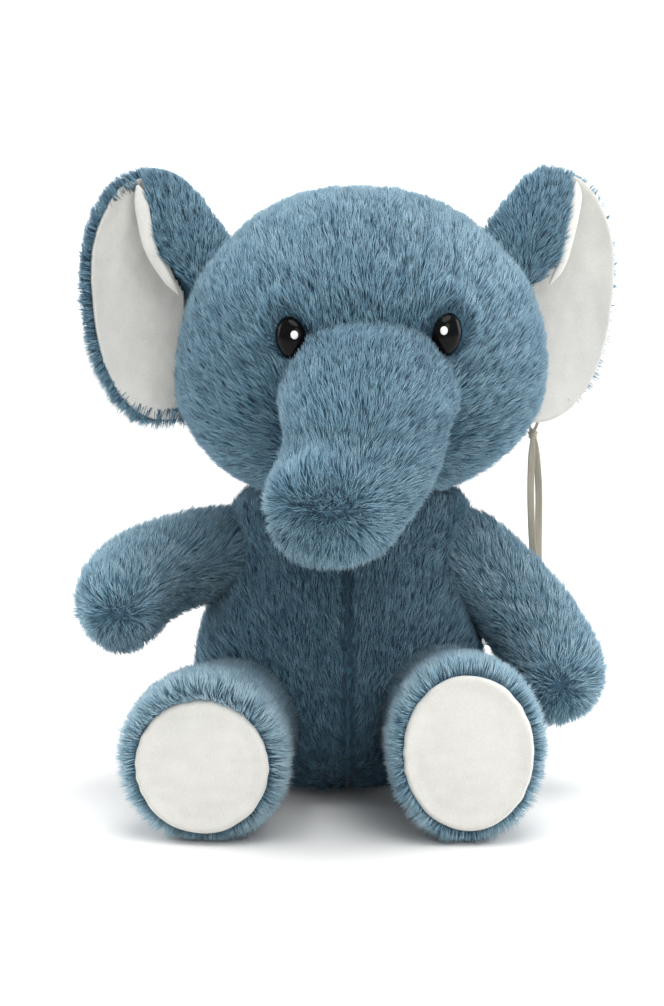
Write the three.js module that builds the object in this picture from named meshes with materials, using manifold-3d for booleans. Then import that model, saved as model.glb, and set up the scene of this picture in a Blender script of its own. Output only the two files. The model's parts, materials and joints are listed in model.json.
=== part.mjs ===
// Seated plush elephant: fur panels, linings, soles, eyes, stuffing and a satin ribbon.
// Millimetres, +Z up, the face looks along -Y. The origin is on the floor, under the middle.
// "left" and "right" are as seen from the front of the toy (left is -X).
import * as THREE from 'three';
import { mergeVertices } from 'three/addons/utils/BufferGeometryUtils.js';
import Module from 'manifold-3d';

const wasm = await Module();
wasm.setup();

// ---- driving dimensions -------------------------------------------------------------------
const PILE = 7;                 // a fur panel's thickness: backing cloth and brushed pile
const SEAM = 0.3;               // gap between two pieces that touch
const SWING = 1.0;              // clearance between two pieces that turn against each other
const FACET = 1.2;              // added to a clearance cut with fewer facets than the piece it clears
const COARSE = 0.5;             // the same for a ball or an eye, which a few facets clear more closely
const HOLLOW = 1.5;             // more room for the trunk in the stuffing than in the head's fur
const RING_EASE = 0.5;          // how far a tube's rings turn to its whole direction, so that none cross
const CAP_OPEN = 0.35;          // part of a step left between a round end's last ring and its tip
const TORSO_CAP = 0.5;          // size of the ring that closes the torso's top
const ARM_SEAM_TURN = 24;       // degrees between an arm's seam plane and the toy's side plane

const HEAD = {
  at: [9.5, 2, 183], radii: [72.5, 63, 64], boxy: 2.3,
  cheek: 0.12,                  // how much wider the jaw is than the crown
  bow: -4, lean: 1.5,           // sideways shift of the crown and the jaw
};
const NECK = { at: [6, 5, 108], radius: 30 };
const EYE = {
  radii: [6.2, 4.2, 8.2], shank: 2.2, shankLong: 15, shankFrom: 1,
  washer: 7.5, washerThick: 1.5, washerAt: 12.5,   // the washer's place behind the middle of the dome
};
const EYES = {
  left: { at: [-19.5, -56.4, 191.5], turn: -22, lean: -12 },
  right: { at: [41.5, -56.4, 193], turn: 22, lean: 12 },
};

const TRUNK = {
  pivot: [10.8, -38, 171],
  spine: [[10.8, -38, 171], [10.5, -64, 160], [5.5, -83, 145], [-0.5, -94, 135.5], [-5, -104, 133]],
  radii: [33, 33, 31, 28, 24],
  tip: 0.8,
  seam: 4,                      // x of the seam plane between the two trunk panels
};

const EAR = { radii: [30, 12, 52], wall: 4, lining: 1.8, boxy: 2.2 };
// fold: the edge of the flap of cloth folded forward, as [outward, up] from the middle of the ear
const EARS = {
  left: { at: [-74.5, 9, 200.5], yaw: 8, lean: -5, side: -1, hinge: [[-36, 12, 232], [-60, 12, 166]],
    fold: [[2, 60], [2, 44], [0.5, 22], [-4, 11], [-9, 2], [-40, -6]] },
  right: { at: [83, 14, 201], yaw: 16, lean: 6, side: 1, hinge: [[56, 12, 232], [81, 12, 166]],
    fold: [[8, 60], [7.5, 50], [6.5, 34], [4.5, 23], [2.5, 14], [-2.5, 6], [-40, 2]] },
};

// torso sections: [height, half width, half depth, middle x, middle y]
const TORSO = [
  [0, 36, 26, 0, 12], [5, 48, 38, 0, 9], [15, 57, 46, 0, 7], [30, 60.5, 50, 0, 6], [46, 61, 50, 0, 6],
  [60, 60, 48, 0, 6], [76, 55.5, 44, 0, 6], [92, 50, 39, 2, 5], [107, 47, 36, 4, 5], [118, 46, 35, 4.5, 5],
];
const TORSO_TOP = 126;
const TORSO_SEAM = { front: 3, side: 6, seat: 9 };   // x, y and height of the seams
const POUCH_TOP = 30;

const ARMS = {
  left: { spine: [[-43, 2, 98], [-66, -5, 94.5], [-81, -18, 89], [-88, -31, 83]],
    radii: [20, 20, 21, 21], side: -1 },
  right: { spine: [[50, 2, 97], [67, -1, 82.5], [80, -6, 66.5], [88.5, -18, 50.5]],
    radii: [20, 19.5, 20.5, 21], side: 1 },
};
const LEGS = {
  left: { spine: [[-40, -24, 32], [-46.5, -52, 33.5], [-51, -78, 33], [-52.5, -93, 31.2]],
    radii: [25, 26.5, 32, 32.6], tall: 1.0, sole: 26.3 },
  right: { spine: [[40, -24, 33], [45, -52, 34.5], [47.5, -78, 36], [48.3, -95, 36]],
    radii: [25, 25, 28.8, 29.8], tall: 1.21, sole: 25.3 },
};
const FOOT_FRONT = 7;           // how far the rounded edge of a foot stands past its widest ring
const SOLE = { thick: 3, proud: 0.6 };

const TAIL = { spine: [[2, 59, 42], [2, 65, 33], [4, 69, 22], [5, 71, 13]], radii: [4.5, 4, 4, 6.5] };
const LABEL = { at: [-38, 46, 16], size: [13, 0.6, 22], turn: 40 };

const RIBBON = {
  width: 3, thick: 0.5, loopRadius: 2.8, loopNarrow: 0.8, cord: 0.8,
  knot: [80, 25, 143.5],        // under the seam at the foot of the ear
  knotRadii: [2.4, 1.9, 2.4],
  tails: {
    front: [[79.8, 24.2, 140.6], [79.4, 24.4, 131], [79.3, 24.6, 119], [79.8, 24.7, 105], [80.6, 24.7, 91],
      [81.2, 24.6, 76]],
    back: [[80.8, 25.9, 140.6], [82, 26.3, 131], [82.8, 26.8, 119], [82.9, 27.2, 105], [83, 27.4, 93],
      [83.2, 27.5, 82]],
  },
};

// each moving piece: its pivot, its axis and its range in degrees
const MOVES = {
  head: { pivot: NECK.at, axis: [1, 0, 0], range: [-8, 10] },
  trunk: { pivot: TRUNK.pivot, axis: [-1, 0, 0], range: [-4, 18] },
  armLeft: { pivot: ARMS.left.spine[0], axis: [0, 1, 0], range: [-14, 36] },
  armRight: { pivot: ARMS.right.spine[0], axis: [0, -1, 0], range: [-4, 50] },
  legLeft: { pivot: LEGS.left.spine[0], axis: [-1, 0, 0], range: [0, 20] },
  legRight: { pivot: LEGS.right.spine[0], axis: [-1, 0, 0], range: [0, 20] },
  ear: { range: [-10, 10] },
};

// ---- materials ----------------------------------------------------------------------------
const cloth = (color, roughness = 0.95) => new THREE.MeshStandardMaterial({ color, roughness, metalness: 0 });
const FUR = '#6f93a9';
const FUR_SHADE = '#587c93';
const LINING = '#e9e9e6';
const FILL = '#f4f4f2';
const SATIN = '#a39c8b';
const GLOSS_BLACK = '#0b0b0d';

// ---- solids -------------------------------------------------------------------------------
const toy = new THREE.Group();
const v3 = (p) => new THREE.Vector3(...p);
const rad = THREE.MathUtils.degToRad;

/** A place, turned about the upright axis and then leaned about its own front axis. */
function placed(at, turn, lean) {
  return new THREE.Matrix4().makeTranslation(...at)
    .multiply(new THREE.Matrix4().makeRotationZ(rad(turn)))
    .multiply(new THREE.Matrix4().makeRotationY(rad(lean)));
}

/** A closed geometry as a solid that can be joined and cut. */
function solid(geometry, tolerance = 1e-4) {
  const plain = geometry.clone();
  plain.deleteAttribute('normal');
  plain.deleteAttribute('uv');
  const merged = mergeVertices(plain, tolerance);
  const vertProperties = Float32Array.from(merged.attributes.position.array);
  const triVerts = Uint32Array.from(merged.index.array);
  const made = new wasm.Manifold(new wasm.Mesh({ numProp: 3, vertProperties, triVerts }));
  if (made.volume() > 0) return made;
  const turned = triVerts.reverse();            // rings that ran the other way round
  return new wasm.Manifold(new wasm.Mesh({ numProp: 3, vertProperties, triVerts: turned }));
}

/** The largest body of a solid as a geometry; slivers that a cut leaves behind are dropped. */
function largestBody(piece) {
  const bodies = piece.decompose().sort((a, b) => b.volume() - a.volume());
  const mesh = bodies[0].getMesh();
  const geometry = new THREE.BufferGeometry();
  geometry.setAttribute('position', new THREE.BufferAttribute(Float32Array.from(mesh.vertProperties), 3));
  geometry.setIndex(new THREE.BufferAttribute(Uint32Array.from(mesh.triVerts), 1));
  return geometry;
}

/** A solid as a geometry whose vertices closer than a hundredth of a millimetre are one. */
function geometryOf(piece) {
  const geometry = largestBody(solid(largestBody(piece), 1e-2));
  geometry.computeVertexNormals();
  return geometry;
}

function add(name, piece, material) {
  const mesh = new THREE.Mesh(piece.isBufferGeometry ? piece : geometryOf(piece), material);
  mesh.name = name;
  toy.add(mesh);
}

/** A closed body through rings with the same number of points, each end closed by a middle point. */
function ringBody(rings) {
  const sides = rings[0].length;
  const points = rings.flat();
  const middle = (ring) => ring.reduce((sum, p) => sum.add(p), new THREE.Vector3()).divideScalar(sides);
  const start = points.push(middle(rings[0])) - 1;
  const end = points.push(middle(rings.at(-1))) - 1;
  const index = [];
  for (let r = 0; r < rings.length; r += 1) {
    for (let s = 0; s < sides; s += 1) {
      const a = r * sides + s;
      const b = r * sides + (s + 1) % sides;
      if (r === 0) index.push(start, b, a);
      if (r === rings.length - 1) index.push(end, a, b);
      else index.push(a, b, a + sides, b, b + sides, a + sides);
    }
  }
  const geometry = new THREE.BufferGeometry();
  geometry.setAttribute('position', new THREE.Float32BufferAttribute(points.flatMap((p) => p.toArray()), 3));
  geometry.setIndex(index);
  return geometry;
}

/** Value of a list of equally spaced stations at t from 0 to 1, smoothly joined. */
function along(list, t) {
  const place = Math.min(t * (list.length - 1), list.length - 1.0001);
  const i = Math.floor(place);
  const f = place - i;
  const ease = f * f * (3 - 2 * f);
  return list[i] + (list[i + 1] - list[i]) * (0.5 * f + 0.5 * ease);
}

/** A soft tube along a spine with a round root; its end is round, or blunt for a foot. */
function softTube({ spine, radii, tall = 1, tip = 1, grow = 0, sides = 24, steps = 9, caps = 3, blunt = 0 }) {
  const curve = new THREE.CatmullRomCurve3(spine.map(v3), false, 'catmullrom', 0.5);
  const rings = [];
  const ring = (centre, tangent, radius) => {
    const side = new THREE.Vector3().crossVectors(tangent, new THREE.Vector3(0, 0, 1)).normalize();
    const up = new THREE.Vector3().crossVectors(side, tangent).normalize();
    rings.push(Array.from({ length: sides }, (_, s) => {
      const a = (2 * Math.PI * s) / sides;
      return centre.clone().addScaledVector(side, radius * Math.cos(a))
        .addScaledVector(up, radius * tall * Math.sin(a));
    }));
  };
  const chord = v3(spine.at(-1)).sub(v3(spine[0])).normalize();
  const place = (t, advance, radius) => {
    const tangent = curve.getTangent(t);
    const facing = tangent.clone().lerp(chord, RING_EASE).normalize();
    ring(curve.getPoint(t).addScaledVector(tangent, advance), facing, radius);
  };
  const root = radii[0] + grow;
  for (let c = caps; c >= 1; c -= 1) {
    const a = (c / (caps + CAP_OPEN)) * (Math.PI / 2);
    place(0, -root * Math.sin(a), root * Math.cos(a));
  }
  for (let s = 0; s <= steps; s += 1) place(s / steps, 0, along(radii, s / steps) + grow);
  const end = radii.at(-1) + grow;
  const reach = blunt ? blunt + grow : end * tip;
  const core = blunt ? end - blunt : 0;
  for (let c = 1; c <= caps; c += 1) {
    const a = (c / (caps + (blunt ? 0 : CAP_OPEN))) * (Math.PI / 2);
    place(1, reach * Math.sin(a), core + (end - core) * Math.cos(a));
  }
  return solid(ringBody(rings));
}

/** A rounded lump whose sections lie between an ellipse and a box; map moves its points. */
function lump({ at, radii, boxy = 2, grow = 0, across = 36, up = 22, map = (p) => p }) {
  const geometry = new THREE.SphereGeometry(1, across, up).rotateX(Math.PI / 2);
  const position = geometry.attributes.position;
  const p = new THREE.Vector3();
  for (let i = 0; i < position.count; i += 1) {
    p.fromBufferAttribute(position, i);
    const sum = Math.abs(p.x) ** boxy + Math.abs(p.y) ** boxy + Math.abs(p.z) ** boxy;
    p.multiplyScalar(sum ** (-1 / boxy));
    map(p);
    p.set(p.x * (radii[0] + grow), p.y * (radii[1] + grow), p.z * (radii[2] + grow));
    position.setXYZ(i, ...p.toArray());
  }
  return solid(geometry.translate(...at));
}

function ball(at, radius, across = 28) {
  return solid(new THREE.SphereGeometry(radius, across, across * 0.6).translate(...at));
}

/** A box from its low corner to its high corner. */
function block(low, high) {
  const size = high.map((h, i) => h - low[i]);
  const middle = high.map((h, i) => (h + low[i]) / 2);
  return solid(new THREE.BoxGeometry(...size).translate(...middle));
}

const FAR = 400;                // beyond the toy on every side
const leftOf = (x) => block([-FAR, -FAR, -FAR], [x, FAR, FAR]);
const rightOf = (x) => block([x, -FAR, -FAR], [FAR, FAR, FAR]);
const frontOf = (y) => block([-FAR, -FAR, -FAR], [FAR, y, FAR]);
const backOf = (y) => block([-FAR, y, -FAR], [FAR, FAR, FAR]);
const above = (z) => block([-FAR, -FAR, z], [FAR, FAR, FAR]);
const below = (z) => block([-FAR, -FAR, -FAR], [FAR, FAR, z]);

/** The space that a piece sweeps as it turns through its range. */
function swept(piece, { pivot, axis, range }, turns = 3) {
  const direction = v3(axis).normalize();
  let space = ball(pivot, SWING, 8);
  for (let i = 0; i < turns; i += 1) {
    const angle = rad(range[0] + ((range[1] - range[0]) * i) / (turns - 1));
    const turn = new THREE.Matrix4().makeTranslation(...pivot)
      .multiply(new THREE.Matrix4().makeRotationAxis(direction, angle))
      .multiply(new THREE.Matrix4().makeTranslation(...pivot.map((value) => -value)));
    space = space.add(piece.transform(turn.elements));
  }
  return space;
}

/** The room that a limb needs in the piece it grows from: a round socket and its first stretch. */
function socket({ spine, radii, tall = 1 }, move, sides, spare = 0) {
  const grow = SWING + FACET + spare;
  const stretch = { spine: spine.slice(0, 3), radii: radii.slice(0, 3), tall, grow };
  const limb = softTube({ ...stretch, sides, steps: 3, caps: 1 });
  return swept(limb, move).add(ball(move.pivot, radii[0] * tall + grow + FACET / 2, 14));
}

// ---- outer forms --------------------------------------------------------------------------
const cheeks = (p) => p.setX(
  p.x * (1 - HEAD.cheek * p.z) + (HEAD.bow * p.z ** 2 + HEAD.lean * p.z) / HEAD.radii[0],
);
function headForm(grow) {
  const [across, up] = grow < 0 ? [14, 8] : [22, 13];
  return lump({ ...HEAD, grow, across, up, map: cheeks });
}
const trunkForm = (grow) => softTube({ ...TRUNK, grow, sides: grow < 0 ? 8 : 16, steps: grow < 0 ? 4 : 6 });
const armForm = (arm, grow) => softTube({ ...arm, grow, sides: grow < 0 ? 8 : 12, steps: grow < 0 ? 3 : 5 });
function legForm(leg, grow) {
  const [sides, steps] = grow < 0 ? [8, 3] : [14, 4];
  return softTube({ ...leg, grow, sides, steps, blunt: FOOT_FRONT });
}

/** The pear-shaped torso with a round neck that enters the head. */
function torsoForm(grow) {
  const sides = grow < 0 ? 12 : 18;
  const rings = TORSO.map(([z, wide, deep, x, y]) => Array.from({ length: sides }, (_, s) => {
    const a = (2 * Math.PI * s) / sides;
    const height = -grow + (z * (TORSO_TOP + 2 * grow)) / TORSO_TOP;
    return new THREE.Vector3(x + (wide + grow) * Math.cos(a), y + (deep + grow) * Math.sin(a), height);
  }));
  const cap = rings.at(-1).map((p) => {
    const [, , , x, y] = TORSO.at(-1);
    return new THREE.Vector3(x + (p.x - x) * TORSO_CAP, y + (p.y - y) * TORSO_CAP, TORSO_TOP + grow);
  });
  const headRoom = swept(headForm(SWING - grow), MOVES.head);
  return solid(ringBody([...rings, cap])).subtract(headRoom).add(ball(NECK.at, NECK.radius + grow, 16));
}

/** The fur shell of a form, and the stuffed space inside it. */
const shell = (form) => form(0).subtract(form(-PILE));
const fill = (form) => form(-PILE - SEAM);

// ---- head ---------------------------------------------------------------------------------
/** An oval toy eye on a shank; grow widens all of it. */
function eyeForm({ at, turn, lean }, grow, sides = 16) {
  const dome = new THREE.SphereGeometry(1, sides, sides / 2)
    .scale(EYE.radii[0] + grow, EYE.radii[1] + grow, EYE.radii[2] + grow);
  const shank = new THREE.CylinderGeometry(EYE.shank + grow, EYE.shank + grow, EYE.shankLong, 6)
    .translate(0, EYE.shankLong / 2 + EYE.shankFrom, 0);
  const pose = placed(at, turn, lean);
  return solid(dome.applyMatrix4(pose)).add(solid(shank.applyMatrix4(pose)));
}

/** The washer that locks an eye's shank behind the cloth. */
function washerForm({ at, turn, lean }, grow, sides = 12) {
  const thick = EYE.washerThick + 2 * grow;
  const disc = new THREE.CylinderGeometry(EYE.washer + grow, EYE.washer + grow, thick, sides);
  return solid(disc.translate(0, EYE.washerAt, 0).applyMatrix4(placed(at, turn, lean)));
}

function buildHead() {
  const neckHole = ball(NECK.at, NECK.radius + SWING + COARSE, 16);
  const trunkHole = socket(TRUNK, MOVES.trunk, 16);
  const trunkHollow = socket(TRUNK, MOVES.trunk, 12, HOLLOW);
  let skin = headForm(0).subtract(headForm(-PILE)).subtract(neckHole).subtract(trunkHole);
  let stuffing = headForm(-PILE - SEAM).subtract(neckHole).subtract(trunkHollow);
  for (const [side, eye] of Object.entries(EYES)) {
    const open = eyeForm(eye, SEAM).add(washerForm(eye, SEAM));
    skin = skin.subtract(open);
    stuffing = stuffing.subtract(open);
    add(`eye_${side}`, eyeForm(eye, 0), cloth(GLOSS_BLACK, 0.08));
    add(`eye_washer_${side}`, washerForm(eye, 0).subtract(eyeForm(eye, SEAM)), cloth(FILL, 0.5));
  }
  const seam = HEAD.at[0];
  add('head_panel_left', skin.intersect(leftOf(seam - SEAM / 2)), cloth(FUR));
  add('head_panel_right', skin.intersect(rightOf(seam + SEAM / 2)), cloth(FUR));
  add('head_stuffing', stuffing, cloth(FILL));
}

function buildTrunk() {
  const { pivot, axis, range } = MOVES.trunk;
  const back = { pivot, axis, range: [-range[1], -range[0]] };  // the eyes as the trunk meets them
  let [skin, stuffing] = [shell(trunkForm), fill(trunkForm)];
  for (const eye of Object.values(EYES)) {
    const room = swept(eyeForm(eye, SWING + COARSE, 10).add(washerForm(eye, SWING + COARSE, 8)), back);
    skin = skin.subtract(room);
    stuffing = stuffing.subtract(room);
  }
  add('trunk_panel_left', skin.intersect(leftOf(TRUNK.seam - SEAM / 2)), cloth(FUR));
  add('trunk_panel_right', skin.intersect(rightOf(TRUNK.seam + SEAM / 2)), cloth(FUR));
  add('trunk_stuffing', stuffing, cloth(FILL));
}

// ---- ears ---------------------------------------------------------------------------------
/** The ear's cup, with the part of its front that the folded cloth does not cover left open. */
function buildEar(name, { at, yaw, lean, side, hinge, fold }) {
  const cup = (grow, across = 14, up = 8) => lump({ at: [0, 0, 0], ...EAR, grow, across, up });
  const past = 80;                              // beyond the ear on every side
  const outline = [...fold, [-past, -past], [past, -past], [past, fold[0][1]]]
    .map(([outward, height]) => new THREE.Vector2(outward * side, height));
  const prism = new THREE.ExtrudeGeometry(new THREE.Shape(outline), { depth: past, bevelEnabled: false });
  const open = solid(prism.rotateX(Math.PI / 2));
  const pose = placed(at, yaw, lean);
  const back = cup(0, 20, 12).subtract(cup(-EAR.wall)).subtract(open);
  const inside = cup(-EAR.wall - SEAM - EAR.lining);
  const lap = backOf(-SEAM - EAR.lining);
  const nested = cup(-EAR.wall - SEAM).intersect(lap);
  const hem = cup(0, 20, 12).intersect(open).intersect(frontOf(-SEAM)).intersect(lap);
  const lining = nested.add(hem).subtract(inside);   // the hem laps over the cut edge of the fur cloth
  const axis = v3(hinge[0]).sub(v3(hinge[1])).toArray();
  const headSpace = swept(headForm(SWING + FACET), { pivot: hinge[0], axis, range: MOVES.ear.range });
  const fit = (piece) => piece.transform(pose.elements).subtract(headSpace);
  add(`ear_back_${name}`, fit(back), cloth(FUR));
  add(`ear_lining_${name}`, fit(lining), cloth(LINING));
}

// ---- torso --------------------------------------------------------------------------------
function buildTorso() {
  const armSpace = socket(ARMS.left, MOVES.armLeft, 12).add(socket(ARMS.right, MOVES.armRight, 12));
  const legSpace = socket(LEGS.left, MOVES.legLeft, 14).add(socket(LEGS.right, MOVES.legRight, 14));
  const skin = torsoForm(0).subtract(torsoForm(-PILE)).subtract(armSpace).subtract(legSpace);
  const { front, side, seat } = TORSO_SEAM;
  const half = SEAM / 2;
  const wall = skin.intersect(above(seat + half));
  const fore = wall.intersect(frontOf(side - half));
  const rear = wall.intersect(backOf(side + half));
  add('torso_front_left', fore.intersect(leftOf(front - half)), cloth(FUR_SHADE));
  add('torso_front_right', fore.intersect(rightOf(front + half)), cloth(FUR_SHADE));
  add('torso_back_left', rear.intersect(leftOf(front - half)), cloth(FUR_SHADE));
  add('torso_back_right', rear.intersect(rightOf(front + half)), cloth(FUR_SHADE));
  add('seat_panel', skin.intersect(below(seat - half)), cloth(FUR_SHADE));
  const core = torsoForm(-PILE - SEAM).subtract(armSpace).subtract(legSpace);
  add('pellet_pouch', core.intersect(below(POUCH_TOP - half)), cloth('#cfcac0'));
  add('torso_stuffing', core.intersect(above(POUCH_TOP + half)), cloth(FILL));
  const label = new THREE.BoxGeometry(...LABEL.size).rotateZ(rad(LABEL.turn)).translate(...LABEL.at);
  add('care_label', solid(label).subtract(torsoForm(SEAM)), cloth('#f7f7f4', 0.5));
}

// ---- limbs --------------------------------------------------------------------------------
function buildArm(name, arm) {
  const form = (grow) => armForm(arm, grow);
  const skin = shell(form);
  const [x, y] = arm.spine[0];
  const pose = placed([x, y, 0], -arm.side * ARM_SEAM_TURN, 0);   // the seam follows the reaching arm
  add(`arm_${name}_front_panel`, skin.intersect(frontOf(-SEAM / 2).transform(pose.elements)), cloth(FUR));
  add(`arm_${name}_back_panel`, skin.intersect(backOf(SEAM / 2).transform(pose.elements)), cloth(FUR));
  add(`arm_${name}_stuffing`, fill(form), cloth(FILL));
}

/** The sole: an oval disc set into the blunt end of the leg. */
function soleForm(leg, grow) {
  const curve = new THREE.CatmullRomCurve3(leg.spine.map(v3), false, 'catmullrom', 0.5);
  const tangent = curve.getTangent(1);
  const reach = FOOT_FRONT - SOLE.thick / 2 + SOLE.proud;
  const side = new THREE.Vector3().crossVectors(tangent, new THREE.Vector3(0, 0, 1)).normalize();
  const up = new THREE.Vector3().crossVectors(side, tangent).normalize();
  const place = new THREE.Matrix4().makeBasis(side, tangent.clone().negate(), up);
  place.setPosition(curve.getPoint(1).addScaledVector(tangent, reach));
  const flat = new THREE.CylinderGeometry(leg.sole + grow, leg.sole + grow, SOLE.thick + 2 * grow, 24);
  return solid(flat.scale(1, 1, leg.tall).applyMatrix4(place));
}

function buildLeg(name, leg) {
  const form = (grow) => legForm(leg, grow);
  const sole = soleForm(leg, 0);
  const skin = form(0).subtract(form(-PILE)).intersect(above(0)).subtract(soleForm(leg, SEAM));
  const seam = leg.spine[0][2];
  add(`leg_${name}_upper_panel`, skin.intersect(above(seam + SEAM / 2)), cloth(FUR));
  add(`leg_${name}_lower_panel`, skin.intersect(below(seam - SEAM / 2)), cloth(FUR));
  add(`sole_${name}`, sole, cloth(LINING, 0.9));
  add(`leg_${name}_stuffing`, fill(form).subtract(soleForm(leg, SEAM)), cloth(FILL));
}

function buildTail() {
  const tail = softTube({ ...TAIL, sides: 12, steps: 6, caps: 3 });
  add('tail', tail.subtract(torsoForm(SWING)), cloth(FUR));
}

// ---- ribbon -------------------------------------------------------------------------------
/** A flat ribbon along a curve, its width across X. */
function flatRibbon(points, closed = false, steps = 14) {
  const curve = new THREE.CatmullRomCurve3(points.map(v3), closed);
  const w = RIBBON.width / 2;
  const t = RIBBON.thick / 2;
  const rings = Array.from({ length: steps + 1 }, (_, i) => {
    const p = curve.getPoint(i / steps);
    return [[-w, -t], [w, -t], [w, t], [-w, t]].map(([x, y]) => new THREE.Vector3(p.x + x, p.y + y, p.z));
  });
  return solid(ringBody(rings));
}

function buildRibbon() {
  const [x, y, z] = RIBBON.knot;
  const { loopRadius, loopNarrow, cord, knotRadii } = RIBBON;
  const loop = new THREE.TorusGeometry(loopRadius, cord, 6, 16).rotateX(Math.PI / 2).scale(loopNarrow, 1, 1);
  loop.translate(x, y, z + knotRadii[2] + SEAM + loopRadius + cord);
  add('ribbon_loop', solid(loop), cloth(SATIN, 0.5));
  const knot = new THREE.SphereGeometry(1, 10, 6).scale(...knotRadii).translate(x, y, z);
  add('ribbon_knot', solid(knot), cloth(SATIN, 0.5));
  for (const [name, points] of Object.entries(RIBBON.tails)) {
    add(`ribbon_tail_${name}`, flatRibbon(points), cloth(SATIN, 0.5));
  }
}

// ---- assembly -----------------------------------------------------------------------------
buildHead();
buildTrunk();
for (const [name, ear] of Object.entries(EARS)) buildEar(name, ear);
buildTorso();
for (const [name, arm] of Object.entries(ARMS)) buildArm(name, arm);
for (const [name, leg] of Object.entries(LEGS)) buildLeg(name, leg);
buildTail();
buildRibbon();

export default toy;
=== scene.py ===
"""Looks of the seated plush elephant: skins, brushed fur, linings, soles, eyes and ribbon."""
import json
import math

import bmesh
import bpy
import numpy as np
from mathutils import Euler, Matrix, Vector
from mathutils.bvhtree import BVHTree


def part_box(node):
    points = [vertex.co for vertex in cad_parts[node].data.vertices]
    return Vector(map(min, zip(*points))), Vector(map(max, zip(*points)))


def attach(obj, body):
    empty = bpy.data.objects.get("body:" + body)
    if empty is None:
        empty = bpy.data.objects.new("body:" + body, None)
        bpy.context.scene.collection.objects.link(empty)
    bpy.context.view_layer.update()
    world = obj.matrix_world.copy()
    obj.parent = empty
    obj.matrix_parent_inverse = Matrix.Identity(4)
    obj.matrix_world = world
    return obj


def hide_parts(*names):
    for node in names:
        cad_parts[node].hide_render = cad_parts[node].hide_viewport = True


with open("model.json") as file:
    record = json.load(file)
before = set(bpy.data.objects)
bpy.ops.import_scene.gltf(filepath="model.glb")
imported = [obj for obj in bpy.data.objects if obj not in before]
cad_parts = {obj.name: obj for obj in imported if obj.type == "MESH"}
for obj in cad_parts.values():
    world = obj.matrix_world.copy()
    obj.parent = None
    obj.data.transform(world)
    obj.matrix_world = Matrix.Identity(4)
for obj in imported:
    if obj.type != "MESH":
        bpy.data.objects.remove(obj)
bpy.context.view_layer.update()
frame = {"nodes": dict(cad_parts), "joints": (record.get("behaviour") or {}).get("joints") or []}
MM = 0.001
SIDES = ("left", "right")
SCATTER_SEED = 7
rng = np.random.default_rng(SCATTER_SEED)       # places of the strands
neck = next(Vector(j["pos_m"]) for j in frame["joints"] if j["name"] == "head_nod")

# ---- camera ---------------------------------------------------------------------------------
LOOK_AT = Vector((-0.0033, 0.0, 0.118))
DISTANCE = 1.30
ELEVATION = math.radians(8.0)
FOCAL_PER_HEIGHT = 3.166            # focal length over the frame's height

camera = bpy.data.objects.new("camera", bpy.data.cameras.new("camera"))
bpy.context.collection.objects.link(camera)
camera.data.sensor_fit = "VERTICAL"
camera.data.lens = camera.data.sensor_height * FOCAL_PER_HEIGHT
back = Vector((0, -math.cos(ELEVATION), math.sin(ELEVATION)))
camera.location = LOOK_AT + back * DISTANCE
camera.rotation_euler = (-back).to_track_quat("-Z", "Y").to_euler()
bpy.context.scene.camera = camera


# ---- materials ------------------------------------------------------------------------------
def srgb(text):
    """A web colour as the linear values that a shader takes."""
    values = [int(text[i:i + 2], 16) / 255 for i in (1, 3, 5)]
    return [v / 12.92 if v <= 0.04045 else ((v + 0.055) / 1.055) ** 2.4 for v in values] + [1.0]


def plain_material(name, color, roughness=0.8, sheen=0.0, specular=0.3):
    """A finish whose values are all set on the shader itself; used for the fibres of the pile."""
    made = bpy.data.materials.new(name)
    made.use_nodes = True
    shader = made.node_tree.nodes["Principled BSDF"]
    shader.inputs["Base Color"].default_value = srgb(color)
    shader.inputs["Roughness"].default_value = roughness
    shader.inputs["Specular IOR Level"].default_value = specular
    shader.inputs["Sheen Weight"].default_value = sheen
    shader.inputs["Sheen Roughness"].default_value = 0.5
    return made


GRAIN_HEIGHT = 0.4 * MM
GRAIN_SHARE = 0.55                  # how much of the mottling is fine grain; the rest is larger patches
PATCH_SIZE = 14                     # how much larger a patch is than the grain


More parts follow.
